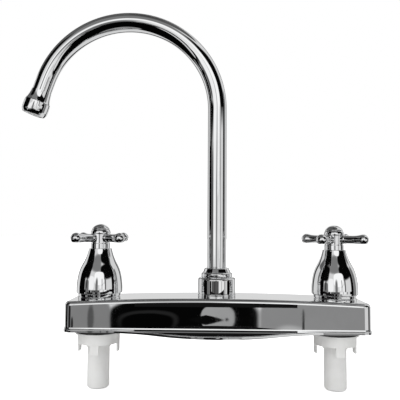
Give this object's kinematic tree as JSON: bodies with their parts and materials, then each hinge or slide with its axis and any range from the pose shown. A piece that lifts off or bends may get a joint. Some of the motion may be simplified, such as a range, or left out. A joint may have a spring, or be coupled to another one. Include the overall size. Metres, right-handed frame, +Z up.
{
  "type": "two handle kitchen faucet",
  "caption": "Deck-mounted gooseneck kitchen faucet with a swivelling spout, a crowned cover plate with a bowed lip, cross handles on bells and moulded inlet shanks.",
  "frame": {"origin": "on the top of the sink deck, under the axis of the spout: centre of the hub's foot face", "axes": "+Z up along the spout's axis, +X from the left handle to the right handle, -Y toward the user; at rest the spout points to -X"},
  "size_m": [0.3017, 0.0694, 0.3283],
  "materials": {
    "chrome_cover": "bright chrome plate on moulded plastic",
    "chrome_spout": "bright chrome plate on brass tube",
    "chrome_handle": "bright chrome plate on die-cast zinc",
    "chrome_trim": "bright chrome plate on brass",
    "white_plastic": "moulded, satin",
    "seal_plastic": "moulded acetal",
    "rubber": "moulded",
    "brass": "turned",
    "copper": "drawn copper tube",
    "ceramic": "lapped ceramic",
    "steel": "stainless"
  },
  "bodies": {
    "fixed_parts": {"base_cover": "chrome_cover", "spout_hub": "white_plastic", "spout_ring": "chrome_trim", "glide_washer": "seal_plastic", "spout_nut": "chrome_trim", "left_valve_body": "white_plastic", "left_cross_tube": "copper", "left_mount_washer": "rubber", "left_mounting_nut": "white_plastic", "left_bell_ring": "chrome_trim", "left_bell": "chrome_handle", "left_cartridge": "brass", "left_seat_seal": "rubber", "left_fixed_disc": "ceramic", "right_valve_body": "white_plastic", "right_cross_tube": "copper", "right_mount_washer": "rubber", "right_mounting_nut": "white_plastic", "right_bell_ring": "chrome_trim", "right_bell": "chrome_handle", "right_cartridge": "brass", "right_seat_seal": "rubber", "right_fixed_disc": "ceramic"},
    "spout": {"spout_tube": "chrome_spout", "spout_tail": "brass", "spout_seals": "rubber", "spout_tip": "chrome_spout", "aerator_housing": "chrome_trim", "aerator_washer": "rubber", "aerator_insert": "seal_plastic"},
    "left_handle": {"left_cross_handle": "chrome_handle", "left_handle_cap": "chrome_handle", "left_handle_screw": "steel", "left_stem": "brass", "left_stem_seal": "rubber", "left_turning_disc": "ceramic"},
    "right_handle": {"right_cross_handle": "chrome_handle", "right_handle_cap": "chrome_handle", "right_handle_screw": "steel", "right_stem": "brass", "right_stem_seal": "rubber", "right_turning_disc": "ceramic"}
  },
  "joints": [
    {"name": "spout_swivel", "type": "hinge", "parent": "fixed_parts", "child": "spout", "pos_m": [0, 0, 0.04], "axis": [0, 0, 1], "continuous": true},
    {"name": "left_handle_turn", "type": "hinge", "parent": "fixed_parts", "child": "left_handle", "pos_m": [-0.1016, 0, 0.077], "axis": [0, 0, 1], "range_deg": [0, 90]},
    {"name": "right_handle_turn", "type": "hinge", "parent": "fixed_parts", "child": "right_handle", "pos_m": [0.1016, 0, 0.077], "axis": [0, 0, 1], "range_deg": [-90, 0]}
  ]
}
